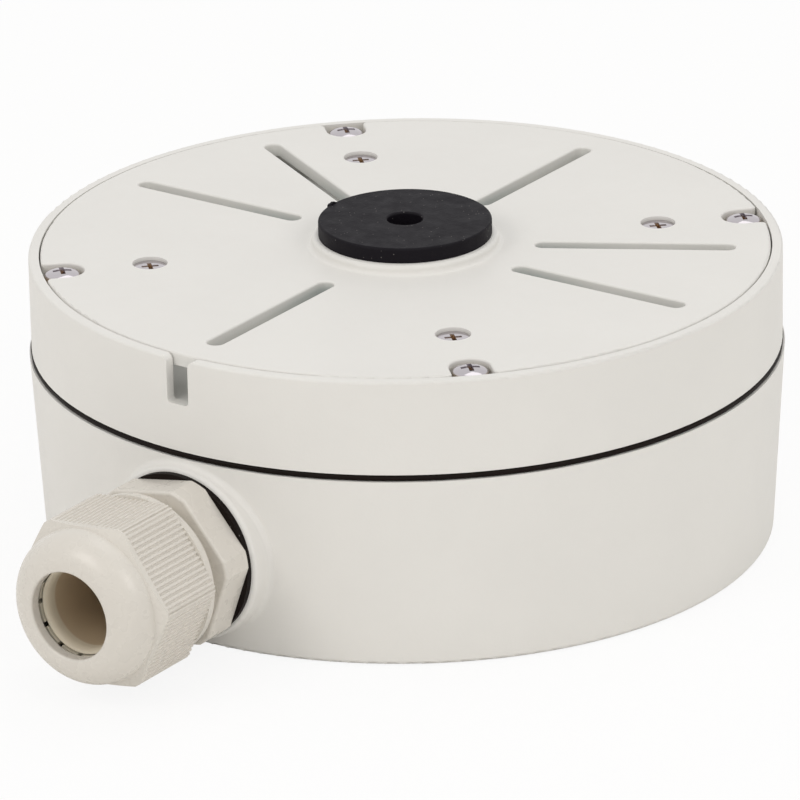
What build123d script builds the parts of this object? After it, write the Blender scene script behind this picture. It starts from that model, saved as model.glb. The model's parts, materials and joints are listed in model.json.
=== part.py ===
from build123d import *
import math
import os

# Round die-cast junction box that carries a dome camera and hides its cable joints.
# A tapered base screws to the wall or ceiling. An upper cover with a seal closes it, and a slotted plate
# inside the cover's rim takes the camera. A cable gland leaves the base at its side.
# Millimetres, +Z up, origin at the centre of the base's underside. The cable gland points along -Y.

# Base, as high as the cable gland's boss needs
base_rim_radius = 68.9
base_draft = 2.0
base_wall = 3.0
base_floor = 3.0
base_foot_round = 0.8
base_inner_round = 2.0

# Gasket between base and cover
gasket_thickness = 1.2
gasket_inset = 0.9
gasket_tongue_width = 1.0
gasket_tongue_depth = 0.9

# Upper cover
cover_setback = 0.4
cover_rim_wall = 1.9
cover_skirt_wall = 2.9
cover_height = 17.3
cover_floor = 2.5
cover_edge_round = 0.5
cover_cable_hole_radius = 14.0

# Notch in the cover's rim, near the cable gland, down to the cover's floor
rim_notch_width = 4.6
rim_notch_depth = 8.5
rim_notch_round = 0.8
rim_notch_flare = 1.3
rim_notch_angle = -91.0

# Mounting plate
plate_thickness = 2.4
plate_gap = 0.3
plate_rise = 0.2
plate_edge_round = 0.4
pad_margin = 1.2
pad_height = 1.9
pad_round = 0.9

# Slots of the mounting plate: a cross of four and a star of three that share the slot at the gland
slot_width = 3.2
slot_pad_gap = 6.6
slot_rim_gap = 6.3
slot_angles = (0, 90, 180, 270, 30, 150)

# Screws that hold the cover to the base, in notches of the plate's rim
screw_angles = (45, 135, 225, 315)
cover_screw_inset = 3.4
cover_screw_radius = 1.75
cover_screw_head_radius = 3.25
cover_screw_head_height = 2.5
cover_screw_head_edge = 1.5
cover_screw_drop = 0.0
cover_screw_length = 28.0
cover_post_margin = 1.0
plate_notch_side_gap = 0.45
plate_notch_end_gap = 0.75
plate_notch_flare = 0.9

# Screws that hold the plate to the cover
plate_screw_inset = 19.4
plate_screw_radius = 1.5
plate_screw_head_radius = 2.95
plate_screw_head_edge = 0.25
plate_screw_drop = 0.6
plate_screw_length = 7.5
plate_screw_side_gap = 0.25
plate_post_wall = 2.1

# Cross recess of the screw heads, as shares of the head's radius
recess_span = 1.05
recess_width = 0.27
recess_depth = 0.5
recess_taper = 8.0

# Base pillars, wall holes and earth terminal
pillar_wall = 2.45
wall_hole_angles = (0, 90, 180, 270)
wall_hole_inset = 21.9
wall_hole_radius = 2.5
rear_cable_hole_radius = 12.0
earth_inset = 9.9
earth_post_radius = 4.0
earth_post_height = 5.0
earth_screw_radius = 2.0
earth_screw_length = 6.0
earth_head_radius = 3.5
earth_head_height = 2.2
earth_head_edge = 0.5
earth_washer_radius = 3.9
earth_washer_thickness = 0.8

# Rubber grommet in the plate's centre
grommet_reach = 4.8
grommet_flange = 2.8
grommet_neck_radius = 11.0
grommet_lower_reach = 2.0
grommet_lower_flange = 1.2
grommet_hole_radius = 3.25
grommet_round = 0.4

# Cable gland, all worked out from its thread, and its seat in the base's wall
gland_thread_radius = 12.5
gland_stub_overhang = 0.75
boss_margin = 0.9
boss_stand = 1.6
boss_round = 0.9
boss_blend = 1.0
boss_foot_gap = 0.2
boss_rim_gap = 0.2
inner_pad_width = 2.9
inner_pad_stand = 1.1
washer_width = 2.8
washer_thickness = 1.15
flange_shoulder = 1.7
flange_corner_cut = 0.8
flange_thickness = 6.35
flange_round = 0.6
flange_turn = 10.5
neck_step = 0.1
neck_wall = 1.8
neck_length = 15.0
socket_step = 1.9
socket_depth = 13.5

# Clamping fingers and seal inside the gland
claw_count = 12
claw_slit_width = 0.9
claw_slit_length = 9.5
claw_wall = 1.1
claw_stand = 0.5
claw_lean_length = 7.1
claw_lean = 1.35
seal_wall = 2.1
seal_setback = 0.6
seal_nose = 1.65

# Dome nut
nut_gap = 3.0
nut_wall = 2.1
nut_corner_cut = 0.44
nut_turn = 5.1
nut_collar_stand = 0.5
nut_collar = 1.4
nut_shoulder = 2.8
nut_band = 1.4
nut_band_inset = 0.3
nut_dome_round = 5.6
nut_dome_foot = 0.3
nut_opening_margin = 0.7
nut_lip = 2.0
nut_lip_round = 0.5
nut_neck_gap = 0.5
nut_claw_gap = 0.45
nut_front_gap = 0.7
rib_pitch = 1.0
rib_height = 0.3
rib_foot = 0.12
rib_shoulder = 0.3

# Clearances
thread_clearance = 0.05
nut_clearance = 0.1
fit_clearance = 0.05
over = 1.0

# Radii worked out from the sizes above
base_foot_radius = base_rim_radius - base_draft
cover_radius = base_rim_radius - cover_setback
plate_radius = cover_radius - cover_rim_wall - plate_gap
gasket_outer = base_rim_radius - gasket_inset
gasket_inner = base_rim_radius - base_wall
tongue_middle = (gasket_outer + gasket_inner) / 2
cover_screw_circle = plate_radius - cover_screw_inset
cover_post_radius = cover_screw_head_radius + cover_post_margin
pillar_radius = cover_screw_radius + pillar_wall
plate_notch_width = 2 * (cover_screw_head_radius + plate_notch_side_gap)
plate_notch_reach = cover_screw_circle - cover_screw_head_radius - plate_notch_end_gap
plate_screw_circle = plate_radius - plate_screw_inset
plate_screw_counterbore = plate_screw_head_radius + plate_screw_side_gap
plate_post_radius = plate_screw_radius + plate_post_wall
wall_hole_circle = base_foot_radius - wall_hole_inset
earth_offset = base_foot_radius - base_wall - earth_inset
grommet_radius = grommet_neck_radius + grommet_reach
grommet_lower_radius = grommet_neck_radius + grommet_lower_reach
pad_radius = grommet_radius + pad_margin
slot_inner_tip = pad_radius + slot_pad_gap
slot_outer_tip = plate_radius - slot_rim_gap

# Radii and flats round the gland's axis, worked out from its thread
washer_radius = gland_thread_radius + washer_width
boss_radius = washer_radius + boss_margin
inner_pad_radius = gland_thread_radius + inner_pad_width
flange_flats = 2 * (gland_thread_radius + flange_shoulder)
flange_corner_radius = flange_flats / math.sqrt(3) - flange_corner_cut
neck_radius = gland_thread_radius - neck_step
socket_radius = neck_radius - neck_wall
gland_bore_radius = socket_radius - socket_step
claw_outer = socket_radius - fit_clearance
claw_tip_radius = socket_radius - claw_lean
seal_outer = claw_outer - claw_wall - fit_clearance
seal_bore_radius = seal_outer - seal_wall
nut_flats = 2 * (neck_radius + nut_wall)
nut_corner_radius = nut_flats / math.sqrt(3) - nut_corner_cut
nut_collar_radius = nut_flats / 2 + nut_collar_stand
nut_band_radius = nut_flats / 2 - nut_band_inset
nut_opening_radius = seal_bore_radius + nut_opening_margin
nut_cone_radius = claw_tip_radius + nut_claw_gap

# Heights worked out from the sizes above
gland_height = boss_radius + boss_blend + base_foot_round + boss_foot_gap
base_height = gland_height + boss_radius + boss_blend + boss_rim_gap
gasket_top = base_height + gasket_thickness
cover_top = gasket_top + cover_height
cover_floor_top = cover_top - rim_notch_depth
cover_floor_bottom = cover_floor_top - cover_floor
plate_top = cover_top + plate_rise
plate_bottom = plate_top - plate_thickness
pad_top = plate_top + pad_height
cover_screw_seat = plate_top - cover_screw_drop - cover_screw_head_height
plate_screw_top = plate_top - plate_screw_drop

# Distances along the gland's axis from the box's centre line
inner_pad_reach = base_foot_radius - base_wall - inner_pad_stand
stub_back = inner_pad_reach - gland_stub_overhang
boss_reach = base_rim_radius + boss_stand
flange_back = boss_reach + washer_thickness
flange_front = flange_back + flange_thickness
neck_front = flange_front + neck_length
socket_back = neck_front - socket_depth
claw_bend = neck_front + claw_stand
claw_tip = claw_bend + claw_lean_length
seal_front = claw_tip - seal_setback
lip_back = claw_tip + nut_front_gap
nut_front = lip_back + nut_lip
dome_back = nut_front - nut_dome_round - nut_dome_foot
grip_front = dome_back - nut_band
nut_back = flange_front + nut_gap
grip_back = nut_back + nut_collar
gland_place = Plane(origin=(0, 0, gland_height), x_dir=(1, 0, 0), z_dir=(0, -1, 0))


def lathe(*pieces):
    """A solid turned about +Z from an outline of radii and heights, closed if it is open."""
    return revolve(Plane.XZ * make_face(Curve() + list(pieces)), Axis.Z)


def turned(*points):
    """A solid turned about +Z from corner points of radii and heights."""
    return lathe(Polyline(*points, close=True))


def drum(radius, low, high):
    """An upright cylinder between two heights."""
    return Pos(0, 0, low) * Cylinder(radius, high - low, align=(Align.CENTER, Align.CENTER, Align.MIN))


def tube(outer, inner, low, high):
    """An upright ring between two heights."""
    return drum(outer, low, high) - drum(inner, low - over, high + over)


def at_angle(angle, radius, shape):
    """The shape turned about +Z and moved out to a radius."""
    return Rot(0, 0, angle) * Pos(radius, 0, 0) * shape


def hexagon(flats, turn, low, high):
    """A six-sided prism with one flat turned this many degrees from straight up."""
    side = RegularPolygon(flats / 2, 6, major_radius=False, rotation=turn)
    return Pos(0, 0, low) * extrude(side, high - low)


def edges_at(shape, height, tolerance=0.01):
    """The edges that lie flat at one height."""
    return shape.edges().filter_by_position(Axis.Z, height - tolerance, height + tolerance)


def cross_recess(head_radius, top):
    """The tapered cross that a driver fits, below the head's top."""
    wing = recess_width * head_radius
    cross = Rectangle(recess_span * head_radius, wing) + Rectangle(wing, recess_span * head_radius)
    cut = extrude(Pos(0, 0, top) * cross, -recess_depth * head_radius, taper=recess_taper)
    return cut + extrude(Pos(0, 0, top) * cross, over)


def base_wall_radius(height):
    """The tapered wall's outer radius at a height."""
    return base_foot_radius + (base_rim_radius - base_foot_radius) * height / base_height


def base_housing():
    """Tapered cup with the gland's boss, screw pillars, earth post and wall holes."""
    wall = turned((0, 0), (base_foot_radius, 0), (base_rim_radius, base_height), (0, base_height))
    wall = fillet(edges_at(wall, 0), base_foot_round)
    boss = drum(boss_radius, base_foot_radius - boss_radius, boss_reach)
    boss = gland_place * fillet(edges_at(boss, boss_reach), boss_round)
    body = wall + boss
    foot_of_boss = [
        edge
        for edge in body.edges()
        if edge.geom_type not in (GeomType.CIRCLE, GeomType.LINE)
    ]
    body = fillet(foot_of_boss, boss_blend)
    cavity = turned(
        (0, base_floor),
        (base_wall_radius(base_floor) - base_wall, base_floor),
        (base_rim_radius - base_wall, base_height),
        (base_rim_radius - base_wall, base_height + over),
        (0, base_height + over),
    )
    cavity = fillet(edges_at(cavity, base_floor), base_inner_round)
    body -= cavity
    envelope = drum(gasket_inner - fit_clearance, 0, gasket_top)
    pad = gland_place * drum(inner_pad_radius, inner_pad_reach, base_foot_radius)
    body += pad
    for angle in screw_angles:
        body += at_angle(angle, cover_screw_circle, drum(pillar_radius, base_foot_round, gasket_top)) & envelope
    body += Pos(0, earth_offset, 0) * drum(earth_post_radius, base_foot_round, base_floor + earth_post_height)
    screw_hole = drum(
        cover_screw_radius + thread_clearance,
        cover_screw_seat - cover_screw_length - over,
        gasket_top + over,
    )
    for angle in screw_angles:
        body -= at_angle(angle, cover_screw_circle, screw_hole)
    for angle in wall_hole_angles:
        body -= at_angle(angle, wall_hole_circle, drum(wall_hole_radius, -over, base_floor + over))
    body -= drum(rear_cable_hole_radius, -over, base_floor + over)
    earth_hole_bottom = base_floor + earth_post_height - earth_screw_length
    body -= Pos(0, earth_offset, 0) * drum(
        earth_screw_radius + thread_clearance, earth_hole_bottom, base_floor + earth_post_height + over
    )
    body -= gland_place * drum(gland_thread_radius + thread_clearance, inner_pad_reach - over, boss_reach + over)
    half_tongue = gasket_tongue_width / 2 + fit_clearance
    body -= tube(
        tongue_middle + half_tongue,
        tongue_middle - half_tongue,
        base_height - gasket_tongue_depth - fit_clearance,
        base_height + over,
    )
    return body


def cover_gasket():
    """Flat rubber ring with a tongue that sits in the base's groove."""
    half_tongue = gasket_tongue_width / 2
    ring = tube(gasket_outer, gasket_inner, base_height, gasket_top)
    return ring + tube(
        tongue_middle + half_tongue,
        tongue_middle - half_tongue,
        base_height - gasket_tongue_depth,
        gasket_top,
    )


def rim_notch():
    """The cut through the rim, with round lower corners and flared upper ones."""
    width = rim_notch_width
    cut = Pos(0, -rim_notch_depth / 2) * Rectangle(width, rim_notch_depth)
    cut = fillet(cut.vertices().sort_by(Axis.Y)[:2], rim_notch_round)
    cut += Pos(0, over / 2) * Rectangle(width + 2 * rim_notch_flare, over)
    flare = Pos(0, -rim_notch_flare / 2) * Rectangle(width + 2 * rim_notch_flare, rim_notch_flare)
    for side in (-1, 1):
        flare -= Pos(side * (width / 2 + rim_notch_flare), -rim_notch_flare) * Circle(rim_notch_flare)
    face = Plane(origin=(0, 0, cover_top), x_dir=(0, 1, 0), z_dir=(1, 0, 0)) * (cut + flare)
    radial = extrude(Pos(plate_radius - over, 0, 0) * face, cover_radius - plate_radius + 2 * over)
    return Rot(0, 0, rim_notch_angle) * radial


def cover_ring():
    """Upper cover: rim, skirt and floor in one casting, with posts for both sets of screws."""
    rim_inside = cover_radius - cover_rim_wall
    skirt_inside = cover_radius - cover_skirt_wall
    body = turned(
        (cover_cable_hole_radius, cover_floor_bottom),
        (skirt_inside, cover_floor_bottom),
        (skirt_inside, gasket_top),
        (cover_radius, gasket_top),
        (cover_radius, cover_top),
        (rim_inside, cover_top),
        (rim_inside, cover_floor_top),
        (cover_cable_hole_radius, cover_floor_top),
    )
    outer_edge = edges_at(body, cover_top).sort_by(SortBy.RADIUS)[-1]
    body = fillet(outer_edge, cover_edge_round)
    envelope = drum((rim_inside + cover_radius) / 2, gasket_top, cover_top)
    for angle in screw_angles:
        body += at_angle(angle, cover_screw_circle, drum(cover_post_radius, gasket_top, cover_screw_seat)) & envelope
        body += at_angle(angle, plate_screw_circle, drum(plate_post_radius, cover_floor_bottom, plate_bottom))
    cover_screw_hole = drum(cover_screw_radius + fit_clearance, gasket_top - over, cover_top)
    plate_screw_hole = drum(
        plate_screw_radius + thread_clearance, plate_screw_top - plate_screw_length - over, cover_top
    )
    for angle in screw_angles:
        body -= at_angle(angle, cover_screw_circle, cover_screw_hole)
        body -= at_angle(angle, plate_screw_circle, plate_screw_hole)
    return body - rim_notch()


def plate_outline():
    """The plate from above: a disc with notches for the cover screws, slots and screw holes."""
    outline = Circle(plate_radius)
    notch_middle = plate_notch_reach + plate_notch_width / 2
    mouth = plate_radius + over - notch_middle
    notch = Circle(plate_notch_width / 2) + Pos(mouth / 2, 0) * Rectangle(mouth, plate_notch_width)
    for angle in screw_angles:
        outline -= at_angle(angle, notch_middle, notch)
    notch_corners = [
        corner
        for corner in outline.vertices()
        if math.hypot(corner.X, corner.Y) > plate_radius - fit_clearance and abs(corner.Y) > plate_notch_width
    ]
    outline = fillet(notch_corners, plate_notch_flare)
    slot = SlotOverall(slot_outer_tip - slot_inner_tip, slot_width)
    for angle in slot_angles:
        outline -= at_angle(angle, (slot_outer_tip + slot_inner_tip) / 2, slot)
    return outline


def plate_screw_seat():
    """The counterbore, cone and hole that one plate screw sits in."""
    cone_top = plate_screw_top - plate_screw_head_edge - fit_clearance
    return turned(
        (0, plate_bottom - over),
        (plate_screw_radius + fit_clearance, plate_bottom - over),
        (plate_screw_radius + fit_clearance, plate_bottom),
        (plate_screw_head_radius, cone_top),
        (plate_screw_counterbore, cone_top),
        (plate_screw_counterbore, plate_top + over),
        (0, plate_top + over),
    )


def mounting_plate():
    """Slotted plate with a soft raised pad round the grommet's hole."""
    body = Pos(0, 0, plate_bottom) * extrude(plate_outline(), plate_thickness)
    body = fillet(edges_at(body, plate_top), plate_edge_round)
    body += drum(pad_radius, plate_bottom, pad_top)
    foot = edges_at(body, plate_top).filter_by(GeomType.CIRCLE).sort_by(SortBy.RADIUS)
    foot = [edge for edge in foot if abs(edge.radius - pad_radius) < fit_clearance]
    body = fillet(foot + edges_at(body, pad_top), pad_round)
    body -= drum(grommet_neck_radius + fit_clearance, plate_bottom - over, pad_top + over)
    for angle in screw_angles:
        body -= at_angle(angle, plate_screw_circle, plate_screw_seat())
    return body


def cable_grommet():
    """Rubber grommet whose groove grips the edge of the plate's centre hole."""
    top = pad_top + grommet_flange
    bottom = plate_bottom - grommet_lower_flange
    body = turned(
        (grommet_hole_radius, bottom),
        (grommet_lower_radius, bottom),
        (grommet_lower_radius, plate_bottom),
        (grommet_neck_radius, plate_bottom),
        (grommet_neck_radius, pad_top),
        (grommet_radius, pad_top),
        (grommet_radius, top),
        (grommet_hole_radius, top),
    )
    rims = edges_at(body, top) + edges_at(body, bottom)
    return fillet(rims, grommet_round)


def domed_head(radius, edge, height):
    """A pan head with a domed top, standing on height zero."""
    return lathe(
        Line((0, 0), (radius, 0)),
        Line((radius, 0), (radius, edge)),
        EllipticalCenterArc((0, edge), radius, height - edge, arc_size=90),
        Line((0, height), (0, 0)),
    )


def cover_screw():
    """Pan-head screw, its head's underside at height zero."""
    head = domed_head(cover_screw_head_radius, cover_screw_head_edge, cover_screw_head_height)
    body = head + drum(cover_screw_radius, -cover_screw_length, 0)
    return body - cross_recess(cover_screw_head_radius, cover_screw_head_height)


def plate_screw():
    """Countersunk screw, the top of its head at height zero."""
    cone_bottom = plate_bottom - plate_screw_top
    body = turned(
        (0, 0),
        (plate_screw_head_radius, 0),
        (plate_screw_head_radius, -plate_screw_head_edge),
        (plate_screw_radius, cone_bottom),
        (plate_screw_radius, -plate_screw_length),
        (0, -plate_screw_length),
    )
    return body - cross_recess(plate_screw_head_radius, 0)


def earth_washer():
    """Flat washer under the earth screw's head."""
    low = base_floor + earth_post_height
    ring = tube(earth_washer_radius, earth_screw_radius + fit_clearance, low, low + earth_washer_thickness)
    return Pos(0, earth_offset, 0) * ring


def earth_screw():
    """Earth terminal screw in its post on the base's floor."""
    seat = base_floor + earth_post_height + earth_washer_thickness
    body = domed_head(earth_head_radius, earth_head_edge, earth_head_height)
    body += drum(earth_screw_radius, -earth_screw_length, 0)
    body -= cross_recess(earth_head_radius, earth_head_height)
    return Pos(0, earth_offset, seat) * body


def gland_body():
    """Gland body: thread stub into the base, six-sided flange, and the neck that the dome nut turns on."""
    flange = hexagon(flange_flats, flange_turn, flange_back, flange_front)
    flange &= drum(flange_corner_radius, flange_back, flange_front)
    flange = fillet(edges_at(flange, flange_front), flange_round)
    body = flange + drum(gland_thread_radius, stub_back, flange_back)
    body += drum(neck_radius, flange_front, neck_front)
    body -= drum(gland_bore_radius, stub_back - over, neck_front)
    body -= drum(socket_radius, socket_back, neck_front + over)
    return gland_place * body


def gland_washer():
    """Flat sealing washer between the flange and the boss."""
    return gland_place * tube(
        washer_radius, gland_thread_radius + fit_clearance, boss_reach, flange_back
    )


def gland_claw_ring():
    """Ring of fingers that lean in at their tips and close on the seal."""
    body = turned(
        (claw_outer - claw_wall, socket_back),
        (claw_outer, socket_back),
        (claw_outer, claw_bend),
        (claw_tip_radius, claw_tip),
        (claw_tip_radius - claw_wall, claw_tip),
        (claw_outer - claw_wall, claw_bend),
    )
    slit = Box(socket_radius, claw_slit_width, claw_slit_length, align=(Align.MIN, Align.CENTER, Align.MAX))
    for number in range(claw_count):
        body -= Rot(0, 0, number * 360 / claw_count) * Pos(seal_bore_radius, 0, claw_tip + fit_clearance) * slit
    return gland_place * body


def gland_seal():
    """Rubber tube inside the fingers, with a round nose."""
    nose_outer = claw_tip_radius - claw_wall - fit_clearance
    nose_back = seal_front - seal_nose
    body = lathe(
        Line((seal_bore_radius, nose_back), (seal_bore_radius, socket_back)),
        Line((seal_bore_radius, socket_back), (seal_outer, socket_back)),
        Line((seal_outer, socket_back), (seal_outer, claw_bend)),
        Line((seal_outer, claw_bend), (nose_outer, seal_front)),
        EllipticalCenterArc((nose_outer, nose_back), nose_outer - seal_bore_radius, seal_nose, 90, arc_size=90),
    )
    return gland_place * body


def grip_outline():
    """Six-sided outline with cut corners and fine ribs, all worked out from the flats and the corners."""
    flat_radius = nut_flats / 2
    half_flat = math.acos(flat_radius / nut_corner_radius)
    points = []
    for side in range(6):
        middle = math.radians(nut_turn + 90 + side * 60)
        corners = [middle - half_flat, middle + half_flat, middle + math.pi / 3 - half_flat]
        for start, end in zip(corners, corners[1:]):
            a = Vector(math.cos(start), math.sin(start)) * nut_corner_radius
            b = Vector(math.cos(end), math.sin(end)) * nut_corner_radius
            count = max(1, round((b - a).length / rib_pitch))
            inward = (a + b).normalized() * -rib_height
            for rib in range(count):
                for share, depth in ((rib_foot, 1), (rib_shoulder, 0), (1 - rib_shoulder, 0), (1 - rib_foot, 1)):
                    points.append(a + (b - a) * ((rib + share) / count) + inward * depth)
    return make_face(Polyline(*points, close=True))


def dome_nut():
    """Nut with a ribbed grip, a smooth shoulder and a domed front round the cable's opening."""
    body = drum(nut_collar_radius, nut_back, grip_back)
    body += Pos(0, 0, grip_back) * extrude(grip_outline(), grip_front - grip_back)
    shoulder_radius = nut_band_radius + nut_shoulder
    shoulder = turned((0, grip_front), (shoulder_radius, grip_front), (nut_band_radius, dome_back), (0, dome_back))
    band = hexagon(nut_flats, nut_turn, grip_front, dome_back) & drum(nut_corner_radius, grip_front, dome_back)
    body += band & shoulder
    round_middle = nut_band_radius - nut_dome_round
    round_back = nut_front - nut_dome_round
    body += lathe(
        Line((0, dome_back), (nut_band_radius, dome_back)),
        Line((nut_band_radius, dome_back), (nut_band_radius, round_back)),
        CenterArc((round_middle, round_back), nut_dome_round, 0, 90),
        Line((round_middle, nut_front), (0, nut_front)),
        Line((0, nut_front), (0, dome_back)),
    )
    bore = neck_radius + nut_clearance
    cone_back = neck_front + nut_neck_gap
    mouth = nut_opening_radius + nut_lip_round
    mouth_back = nut_front - nut_lip_round
    body -= lathe(
        Polyline((0, nut_back - over), (bore, nut_back - over), (bore, cone_back)),
        Line((bore, cone_back), (nut_cone_radius, lip_back)),
        Line((nut_cone_radius, lip_back), (nut_opening_radius, lip_back)),
        Line((nut_opening_radius, lip_back), (nut_opening_radius, mouth_back)),
        CenterArc((mouth, mouth_back), nut_lip_round, 180, arc_size=-90),
        Polyline((mouth, nut_front), (mouth, nut_front + over), (0, nut_front + over), (0, nut_back - over)),
    )
    return gland_place * body


pieces = {
    "base_housing": base_housing(),
    "cover_gasket": cover_gasket(),
    "cover_ring": cover_ring(),
    "mounting_plate": mounting_plate(),
    "cable_grommet": cable_grommet(),
    "earth_washer": earth_washer(),
    "earth_screw": earth_screw(),
    "gland_body": gland_body(),
    "gland_washer": gland_washer(),
    "gland_claw_ring": gland_claw_ring(),
    "gland_seal": gland_seal(),
    "dome_nut": dome_nut(),
}
for number, angle in enumerate(screw_angles, start=1):
    pieces[f"cover_screw_{number}"] = at_angle(angle, cover_screw_circle, Pos(0, 0, cover_screw_seat) * cover_screw())
    pieces[f"plate_screw_{number}"] = at_angle(angle, plate_screw_circle, Pos(0, 0, plate_screw_top) * plate_screw())

os.makedirs("parts", exist_ok=True)
for name, piece in pieces.items():
    export_step(piece, f"parts/{name}.step")
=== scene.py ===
import json
import math
import bpy
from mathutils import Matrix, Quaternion, Vector


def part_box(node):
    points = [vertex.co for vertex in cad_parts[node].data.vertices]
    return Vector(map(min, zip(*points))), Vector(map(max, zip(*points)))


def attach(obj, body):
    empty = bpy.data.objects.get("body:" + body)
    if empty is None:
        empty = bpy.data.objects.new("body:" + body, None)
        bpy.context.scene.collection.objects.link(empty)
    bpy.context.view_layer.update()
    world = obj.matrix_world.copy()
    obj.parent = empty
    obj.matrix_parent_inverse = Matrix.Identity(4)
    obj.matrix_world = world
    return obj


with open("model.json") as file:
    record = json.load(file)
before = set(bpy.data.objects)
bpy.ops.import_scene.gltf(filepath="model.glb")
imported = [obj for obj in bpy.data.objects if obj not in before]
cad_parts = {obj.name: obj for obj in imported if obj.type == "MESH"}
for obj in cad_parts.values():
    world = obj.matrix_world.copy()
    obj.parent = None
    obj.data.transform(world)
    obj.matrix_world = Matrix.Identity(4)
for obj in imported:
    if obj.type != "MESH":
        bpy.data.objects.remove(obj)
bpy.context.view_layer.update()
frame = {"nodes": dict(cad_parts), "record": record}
nodes = frame["nodes"]
scene = bpy.context.scene

# Camera, in metres and degrees in the part's own frame, with lens and sensor in millimetres
CAMERA_AIM = Vector((-0.0059, 0.00576, 0.02028))
CAMERA_DISTANCE = 1.31421
CAMERA_HEADING = 125.131
CAMERA_ELEVATION = 21.793
CAMERA_ROLL = -1.073
CAMERA_CLIP = 0.1
CAMERA_LENS = 320.56
SENSOR_WIDTH = 36.0

# Surface colours, linear
PAINT = (0.785, 0.77, 0.735)
# Painted shade, darker and a little greener, for the walls of the slots and the space under the plate
PAINTED_SPACE_SHADE = (0.44, 0.48, 0.465)
NYLON = (0.700, 0.665, 0.605)
CLAW_NYLON = (0.62, 0.58, 0.48)
SEAL_NOSE = (0.67, 0.60, 0.47)
# Painted shade, darker and browner, for the bore behind the seal's nose
SEAL_BORE_SHADE = (0.52, 0.41, 0.28)
BLACK_RUBBER = (0.0054, 0.0041, 0.0066)
BROWN_RUBBER = (0.0068, 0.0035, 0.0024)
RUBBER_DUST = (0.16, 0.15, 0.14)
NICKEL = (0.50, 0.47, 0.49)
# Painted shade and reflection, a browner tint of the metal, below the tops of the screws' heads
SCREW_SHADE_AND_REFLECTION = (0.55, 0.45, 0.35)
BRASS = (0.62, 0.45, 0.20)
FLOOR = (0.93, 0.92, 0.90)
WHITE = (1, 1, 1)
WARM_LIGHT = (1.0, 0.957, 0.91)

# Each surface: its colour, roughness, grain in cycles a metre and the grain's depth in metres
SURFACES = {
    "housing_paint": dict(
        colour=PAINT, roughness=0.5, grain=1800.0, depth=0.00002, variation=0.01, specular=0.35
    ),
    "black_rubber": dict(
        colour=BLACK_RUBBER, roughness=0.6, grain=2500.0, depth=0.00004, variation=0.1, specular=0.13
    ),
    "brown_rubber": dict(
        colour=BROWN_RUBBER, roughness=0.5, grain=2500.0, depth=0.00003, variation=0.2, specular=0.1
    ),
    "gland_plastic": dict(colour=NYLON, roughness=0.28, grain=1200.0, depth=0.000005, variation=0.01),
    "claw_plastic": dict(colour=CLAW_NYLON, roughness=0.45, grain=1200.0, depth=0.00001),
    "seal_rubber": dict(colour=SEAL_NOSE, roughness=0.5, grain=1500.0, depth=0.00001),
    "bright_screw": dict(colour=NICKEL, roughness=0.08, grain=3000.0, depth=0.000004, metallic=1.0),
    "brass_screw": dict(colour=BRASS, roughness=0.3, grain=3000.0, depth=0.000004, metallic=1.0),
}

# Nodes whose surface isn't the one named by their slot
OWN_SURFACES = {"cover_gasket": "brown_rubber", "gland_washer": "brown_rubber"}

# Uneven colour and gloss on every surface, in cycles a metre and as a share of the roughness
PATCH_SCALE = 60.0
PATCH_DETAIL = 3.0
GLOSS_SCALE = 400.0
GLOSS_SPREAD = 0.1

# Dust on each rubber: cells a metre, a speck's radius in cells and the share of cells with a speck
DUST = {"black_rubber": (1100.0, 0.12, 0.5), "brown_rubber": (500.0, 0.08, 0.2)}

# The full core of a speck as a share of its radius, and the width of the step that chooses the cells
SPECK_CORE = 0.6
SPECK_CHOICE = 0.01

# Where the painted shade on the walls of the slots and of the space under the plate fades, in metres past
# the space under the plate, past the plate and from the axis
SHADE_AT_FLOOR = (-0.0015, -0.0010)
SHADE_AT_TOP = (0.0025, 0.0038)
SHADE_AT_EDGE = (0.0, 0.0003)
SHADE_RADII = (0.018, 0.042)
SHADE_OUTER_SHARE = 0.2

# Where the painted shade and reflection below the screws' tops and the painted shade in the seal's bore
# behind its nose fade, in metres
SCREW_SHADE_DEPTHS = (-0.0010, -0.00062)
BORE_SHADE_DEPTHS = (0.0023, 0.0027)

# The gasket's squeezed edge, in metres, with its waves a turn and their phases in radians
GASKET_THICKNESS = 0.0012
GASKET_SWELL = 0.00065
GASKET_ROOT = 0.0001
GASKET_FLATNESS = 4
GASKET_WAVE_HEIGHT = 0.00003
GASKET_WAVES = ((7, 0), (19, 1), (43, 2))
GASKET_STEPS = 720
GASKET_CURVE_STEPS = 10

# The scrap of flash on the grommet, in degrees and metres, with shares of its height
FLASH_ANGLES = (179, 187)
FLASH_HEIGHT = 0.00045
FLASH_WIDTH = 0.0007
FLASH_STAND = 0.0002
FLASH_INNER_ROOT = 0.0002
FLASH_OUTER_ROOT = 0.0007
FLASH_OUTER_SHARE = 0.6
FLASH_END_SHARE = 0.1
FLASH_RIPPLE_SHARE = 0.3
FLASH_RIPPLES = 5
FLASH_STEPS = 16

# Square lamps: place and side in metres, power in watts, colour
LAMPS = {
    "left_light": ((-0.35, -1.15, 0.9), 0.6, 3.9, WARM_LIGHT),
    "right_light": ((1.15, -0.25, 0.9), 0.6, 3.0, WARM_LIGHT),
    "top_light": ((0.0, 0.4, 1.4), 1.0, 3.0, WHITE),
}
LAMP_TARGET = Vector((0, 0, 0.03))

# The lamp under the plate, in metres and watts
SPACE_LAMP_INSET = 0.006
SPACE_LAMP_DROP = 0.0001
SPACE_LAMP_POWER = 0.008

# The world's strength as a light, and as the camera and reflections see it
WORLD_LIGHT = 0.66
WORLD_SEEN = 1.0

# The floor, in metres, and the share of plain white that the camera sees on it
FLOOR_HALF = 4.0
FLOOR_DROP = 0.0002
FLOOR_ROUGHNESS = 0.9
FLOOR_GLOW = 0.88

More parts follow.
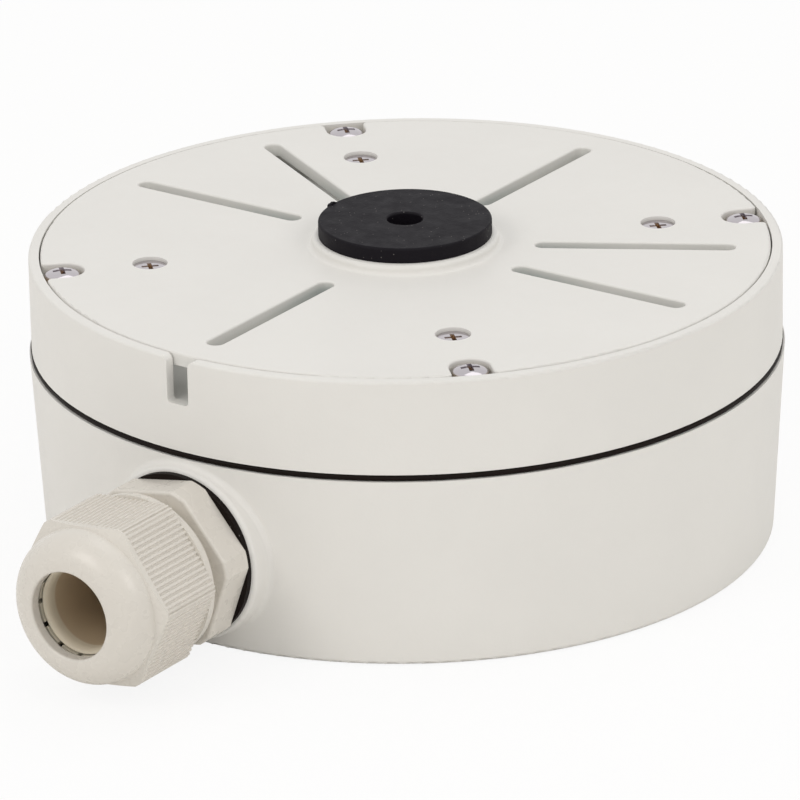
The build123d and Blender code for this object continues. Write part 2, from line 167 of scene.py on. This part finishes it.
# Places on the solids, in metres
plate_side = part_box("mounting_plate")[1][0]
recess_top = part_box("cover_screw_1")[1][2]
seal_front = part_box("gland_seal")[0][1]
openings = frame["record"]["physics"]["openings"]
under_plate = next(opening for opening in openings if opening["name"] == "space_under_plate")
space_floor, space_top = (corner[2] for corner in under_plate["box_m"])


def new_material(name):
    """A node material with its tree and its principled shader."""
    material = bpy.data.materials.new(name)
    material.use_nodes = True
    tree = material.node_tree
    return material, tree, tree.nodes["Principled BSDF"]


def noise(tree, scale, detail=2.0):
    """Noise over the part's own coordinates, in cycles a metre."""
    place = tree.nodes.new("ShaderNodeTexCoord")
    node = tree.nodes.new("ShaderNodeTexNoise")
    node.inputs["Scale"].default_value = scale
    node.inputs["Detail"].default_value = detail
    tree.links.new(place.outputs["Object"], node.inputs["Vector"])
    return node.outputs["Fac"]


def spread(tree, value, low, high, start=0.3, end=0.7):
    """The value's range from start to end mapped to low and high."""
    node = tree.nodes.new("ShaderNodeMapRange")
    node.inputs["From Min"].default_value = start
    node.inputs["From Max"].default_value = end
    node.inputs["To Min"].default_value = low
    node.inputs["To Max"].default_value = high
    tree.links.new(value, node.inputs["Value"])
    return node.outputs["Result"]


def fade(tree, value, low, high, level, offsets):
    """From low to high between two offsets from a level."""
    return spread(tree, value, low, high, level + offsets[0], level + offsets[1])


def tint(tree, colour, value, low, high):
    """The colour made a little darker or lighter by a value from 0 to 1."""
    mix = tree.nodes.new("ShaderNodeMix")
    mix.data_type = "RGBA"
    mix.inputs["A"].default_value = [c * low for c in colour] + [1]
    mix.inputs["B"].default_value = [c * high for c in colour] + [1]
    tree.links.new(value, mix.inputs["Factor"])
    return mix.outputs["Result"]


def over_colour(tree, below, colour, value):
    """Another colour laid over a colour's socket where the value is 1."""
    mix = tree.nodes.new("ShaderNodeMix")
    mix.data_type = "RGBA"
    tree.links.new(below, mix.inputs["A"])
    mix.inputs["B"].default_value = (*colour, 1)
    tree.links.new(value, mix.inputs["Factor"])
    return mix.outputs["Result"]


def combine(tree, operation, first, second):
    """One value from two, such as their product or the greater of them."""
    node = tree.nodes.new("ShaderNodeMath")
    node.operation = operation
    tree.links.new(first, node.inputs[0])
    tree.links.new(second, node.inputs[1])
    return node.outputs["Value"]


def specks(tree, scale, radius, share):
    """1 on small round specks in a share of the cells, 0 elsewhere. The scale is in cells a metre."""
    place = tree.nodes.new("ShaderNodeTexCoord")
    cells = tree.nodes.new("ShaderNodeTexVoronoi")
    cells.inputs["Scale"].default_value = scale
    tree.links.new(place.outputs["Object"], cells.inputs["Vector"])
    channels = tree.nodes.new("ShaderNodeSeparateColor")
    tree.links.new(cells.outputs["Color"], channels.inputs["Color"])
    dots = spread(tree, cells.outputs["Distance"], 1, 0, radius * SPECK_CORE, radius)
    chosen = fade(tree, channels.outputs["Red"], 0, 1, 1 - share, (0, SPECK_CHOICE))
    return combine(tree, "MULTIPLY", dots, chosen)


def coordinate(tree, axis):
    """The point's X, Y or Z in metres."""
    place = tree.nodes.new("ShaderNodeTexCoord")
    split = tree.nodes.new("ShaderNodeSeparateXYZ")
    tree.links.new(place.outputs["Object"], split.inputs["Vector"])
    return split.outputs[axis]


def axis_distance(tree):
    """The point's distance from the Z axis in metres."""
    place = tree.nodes.new("ShaderNodeTexCoord")
    flat = tree.nodes.new("ShaderNodeVectorMath")
    flat.operation = "MULTIPLY"
    flat.inputs[1].default_value = (1, 1, 0)
    tree.links.new(place.outputs["Object"], flat.inputs[0])
    length = tree.nodes.new("ShaderNodeVectorMath")
    length.operation = "LENGTH"
    tree.links.new(flat.outputs["Vector"], length.inputs[0])
    return length.outputs["Value"]


def bump(tree, shader, height, depth):
    """Relief of this depth in metres on the shader's normal."""
    node = tree.nodes.new("ShaderNodeBump")
    node.inputs["Distance"].default_value = depth
    tree.links.new(height, node.inputs["Height"])
    tree.links.new(node.outputs["Normal"], shader.inputs["Normal"])


def plain_surface(name, colour, roughness, grain, depth, metallic=0.0, variation=0.03, specular=0.5):
    """A material with a little colour variation, uneven gloss and a fine grain."""
    material, tree, shader = new_material(name)
    shader.inputs["Metallic"].default_value = metallic
    shader.inputs["Specular IOR Level"].default_value = specular
    patches = spread(tree, noise(tree, PATCH_SCALE, PATCH_DETAIL), 0, 1)
    own = tint(tree, colour, patches, 1 - variation, 1 + variation)
    tree.links.new(own, shader.inputs["Base Color"])
    smoothest = roughness * (1 - GLOSS_SPREAD)
    roughest = roughness * (1 + GLOSS_SPREAD)
    gloss = spread(tree, noise(tree, GLOSS_SCALE), smoothest, roughest)
    tree.links.new(gloss, shader.inputs["Roughness"])
    bump(tree, shader, noise(tree, grain), depth)
    return material


def recolour(material, colour, make_mask):
    """Lays a colour over the material's own where the mask made by a function of its tree is 1."""
    tree = material.node_tree
    base = tree.nodes["Principled BSDF"].inputs["Base Color"]
    own = base.links[0].from_socket
    tree.links.new(over_colour(tree, own, colour, make_mask(tree)), base)


def space_shade_mask(tree):
    """Painted shade: rises towards the centre on the walls of the slots and of the space under the plate, 0
    elsewhere.
    """
    low = fade(tree, coordinate(tree, "Z"), 0, 1, space_floor, SHADE_AT_FLOOR)
    high = fade(tree, coordinate(tree, "Z"), 1, 0, space_top, SHADE_AT_TOP)
    near = fade(tree, axis_distance(tree), 1, 0, plate_side, SHADE_AT_EDGE)
    inward = spread(tree, axis_distance(tree), 1, SHADE_OUTER_SHARE, *SHADE_RADII)
    between = combine(tree, "MULTIPLY", low, high)
    return combine(tree, "MULTIPLY", between, combine(tree, "MULTIPLY", near, inward))


def screw_shade_mask(tree):
    """Painted shade and reflection: 1 well below the tops of the screws' heads, as in their recesses, and 0
    at the tops.
    """
    return fade(tree, coordinate(tree, "Z"), 1, 0, recess_top, SCREW_SHADE_DEPTHS)


def bore_shade_mask(tree):
    """Painted shade in the seal's bore: 0 on the seal's nose, 1 behind it."""
    return fade(tree, coordinate(tree, "Y"), 0, 1, seal_front, BORE_SHADE_DEPTHS)


materials = {name: plain_surface(name, **look) for name, look in SURFACES.items()}
# Painted shade, deeper towards the centre, in the slots and the space under the plate
recolour(materials["housing_paint"], PAINTED_SPACE_SHADE, space_shade_mask)
for rubber, dust in DUST.items():
    recolour(materials[rubber], RUBBER_DUST, lambda tree: specks(tree, *dust))
# Painted shade and reflection below the tops of the screws' heads
recolour(materials["bright_screw"], SCREW_SHADE_AND_REFLECTION, screw_shade_mask)
# Painted shade in the bore behind the seal's nose
recolour(materials["seal_rubber"], SEAL_BORE_SHADE, bore_shade_mask)

for part in frame["record"]["subparts"]:
    node = nodes[part["node"]]
    node.data.materials.clear()
    node.data.materials.append(materials[OWN_SURFACES.get(part["node"], part["material_slot"])])


def ring_piece(name, rows, closed, material):
    """A piece on the housing from rows of points round the Z axis. A closed one is smooth, with no ends."""
    count = len(rows[0])
    faces = []
    for k in range(len(rows) if closed else len(rows) - 1):
        here = k * count
        there = (k + 1) % len(rows) * count
        for i in range(count):
            j = (i + 1) % count
            faces.append((here + i, there + i, there + j, here + j))
    if not closed:
        last = (len(rows) - 1) * count
        faces.append(tuple(range(count)))
        faces.append(tuple(reversed(range(last, last + count))))
    mesh = bpy.data.meshes.new(name)
    mesh.from_pydata([point for row in rows for point in row], [], faces)
    mesh.polygons.foreach_set("use_smooth", [closed] * len(faces))
    mesh.materials.append(materials[material])
    piece = bpy.data.objects.new(name, mesh)
    scene.collection.objects.link(piece)
    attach(piece, "housing")


def round_point(radius, angle, height):
    """The point at this radius and angle round the Z axis, and this height."""
    return (radius * math.cos(angle), radius * math.sin(angle), height)


def make_gasket_edge():
    """The rubber squeezed out between the base and the cover, a little uneven round its length."""
    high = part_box("cover_gasket")[1]
    low_z = high[2] - GASKET_THICKNESS
    inner = high[0] - GASKET_ROOT
    rows = []
    for k in range(GASKET_STEPS):
        angle = 2 * math.pi * k / GASKET_STEPS
        uneven = GASKET_WAVE_HEIGHT * sum(math.sin(waves * angle + phase) for waves, phase in GASKET_WAVES)
        row = [round_point(inner, angle, low_z)]
        for i in range(GASKET_CURVE_STEPS + 1):
            share = i / GASKET_CURVE_STEPS
            swell = (GASKET_SWELL + uneven) * (1 - (2 * share - 1) ** GASKET_FLATNESS)
            row.append(round_point(high[0] + swell, angle, low_z + share * GASKET_THICKNESS))
        row.append(round_point(inner, angle, high[2]))
        rows.append(row)
    ring_piece("gasket_edge", rows, True, "brown_rubber")


def make_grommet_flash():
    """A scrap of moulding flash on the grommet's upper edge."""
    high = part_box("cable_grommet")[1]
    outer = high[0] + FLASH_STAND
    inner = outer - FLASH_WIDTH
    start, end = (math.radians(angle) for angle in FLASH_ANGLES)
    rows = []
    for k in range(FLASH_STEPS + 1):
        share = k / FLASH_STEPS
        angle = start + share * (end - start)
        ripple = 1 - FLASH_RIPPLE_SHARE + FLASH_RIPPLE_SHARE * math.cos(FLASH_RIPPLES * math.pi * share)
        rise = FLASH_HEIGHT * (FLASH_END_SHARE + math.sin(math.pi * share) * ripple)
        rows.append([
            round_point(inner, angle, high[2] - FLASH_INNER_ROOT),
            round_point(outer, angle, high[2] - FLASH_OUTER_ROOT),
            round_point(outer, angle, high[2] + rise * FLASH_OUTER_SHARE),
            round_point(inner, angle, high[2] + rise),
        ])
    ring_piece("grommet_flash", rows, False, "black_rubber")


def make_camera():
    """The photograph's view."""
    heading = math.radians(CAMERA_HEADING)
    elevation = math.radians(CAMERA_ELEVATION)
    level = math.cos(elevation)
    forward = Vector((math.cos(heading) * level, math.sin(heading) * level, -math.sin(elevation)))
    camera = bpy.data.objects.new("camera", bpy.data.cameras.new("camera"))
    camera.data.sensor_width = SENSOR_WIDTH
    camera.data.lens = CAMERA_LENS
    camera.data.clip_start = CAMERA_CLIP
    camera.location = CAMERA_AIM - forward * CAMERA_DISTANCE
    turn = Quaternion((0, 0, 1), math.radians(CAMERA_ROLL))
    camera.rotation_mode = "QUATERNION"
    camera.rotation_quaternion = forward.to_track_quat("-Z", "Y") @ turn
    scene.collection.objects.link(camera)
    scene.camera = camera


def add_lamp(name, place, size, power):
    """A square white lamp that faces down."""
    lamp = bpy.data.objects.new(name, bpy.data.lights.new(name, "AREA"))
    lamp.data.size = size
    lamp.data.energy = power
    lamp.location = place
    scene.collection.objects.link(lamp)
    return lamp


def add_studio_lamp(name, place, size, power, colour):
    """A square soft lamp of this colour that faces the part."""
    lamp = add_lamp(name, place, size, power)
    lamp.data.color = colour
    lamp.rotation_mode = "QUATERNION"
    lamp.rotation_quaternion = (LAMP_TARGET - Vector(place)).to_track_quat("-Z", "Y")


def add_space_lamp():
    """A faint round lamp just under the plate, for the light that bounces about in the space there."""
    place = (0, 0, space_top - SPACE_LAMP_DROP)
    lamp = add_lamp("space_light", place, 2 * (plate_side - SPACE_LAMP_INSET), SPACE_LAMP_POWER)
    lamp.data.shape = "DISK"


def make_world():
    """White to the camera and in reflections, softer as a light."""
    world = bpy.data.worlds.new("world")
    scene.world = world
    world.use_nodes = True
    tree = world.node_tree
    background = tree.nodes["Background"]
    background.inputs["Color"].default_value = (*WHITE, 1)
    path = tree.nodes.new("ShaderNodeLightPath")
    seen = combine(tree, "MAXIMUM", path.outputs["Is Camera Ray"], path.outputs["Is Transmission Ray"])
    mirrored = combine(tree, "MAXIMUM", seen, path.outputs["Is Glossy Ray"])
    strength = spread(tree, mirrored, WORLD_LIGHT, WORLD_SEEN, 0.0, 1.0)
    tree.links.new(strength, background.inputs["Strength"])


def make_floor():
    """A plain pale floor that reads as white round a faint shadow."""
    corners = [(x * FLOOR_HALF, y * FLOOR_HALF, 0) for x, y in ((-1, -1), (1, -1), (1, 1), (-1, 1))]
    mesh = bpy.data.meshes.new("floor")
    mesh.from_pydata(corners, [], [(0, 1, 2, 3)])
    floor = bpy.data.objects.new("floor", mesh)
    floor.location.z = -FLOOR_DROP
    scene.collection.objects.link(floor)
    material, tree, shader = new_material("floor")
    shader.inputs["Base Color"].default_value = (*FLOOR, 1)
    shader.inputs["Roughness"].default_value = FLOOR_ROUGHNESS
    glow = tree.nodes.new("ShaderNodeEmission")
    glow.inputs["Color"].default_value = (*WHITE, 1)
    mix = tree.nodes.new("ShaderNodeMixShader")
    path = tree.nodes.new("ShaderNodeLightPath")
    share = spread(tree, path.outputs["Is Camera Ray"], 0.0, FLOOR_GLOW, 0.0, 1.0)
    tree.links.new(share, mix.inputs["Fac"])
    tree.links.new(shader.outputs["BSDF"], mix.inputs[1])
    tree.links.new(glow.outputs["Emission"], mix.inputs[2])
    tree.links.new(mix.outputs["Shader"], tree.nodes["Material Output"].inputs["Surface"])
    mesh.materials.append(material)


make_gasket_edge()
make_grommet_flash()
scene.view_settings.view_transform = "Standard"
make_camera()
make_world()
make_floor()
for name, lamp in LAMPS.items():
    add_studio_lamp(name, *lamp)
add_space_lamp()
